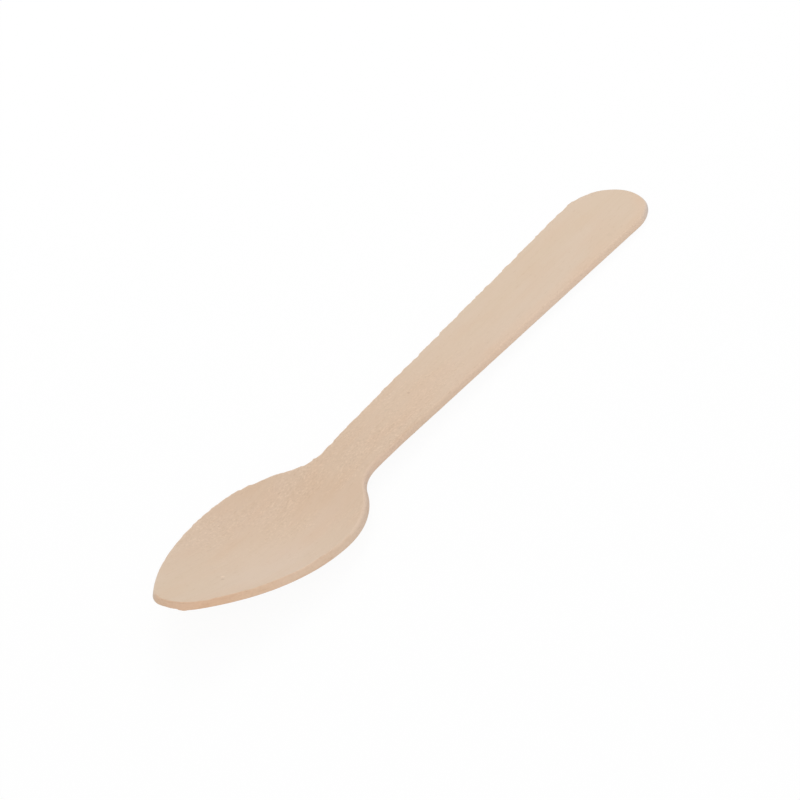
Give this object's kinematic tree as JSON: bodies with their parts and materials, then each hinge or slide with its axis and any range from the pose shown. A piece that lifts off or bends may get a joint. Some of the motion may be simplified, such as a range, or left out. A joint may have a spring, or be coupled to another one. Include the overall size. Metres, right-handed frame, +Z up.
{
  "type": "disposable wooden teaspoon",
  "caption": "Small one-piece teaspoon of pressed birch veneer, with a shallow pointed bowl, a narrow neck and a flat handle that widens to a rounded end, for stirring and eating.",
  "frame": {"origin": "centre of the bounding box, on the table that the spoon lies on", "axes": "+X along the spoon from the tip of the bowl to the end of the handle, +Z up, out of the open side of the bowl, +Y across it"},
  "size_m": [0.11, 0.0212, 0.0075],
  "materials": {
    "birch_wood": "bare, unvarnished, lightly sanded birch veneer"
  },
  "bodies": {
    "root": {"teaspoon": "birch_wood"}
  },
  "joints": []
}
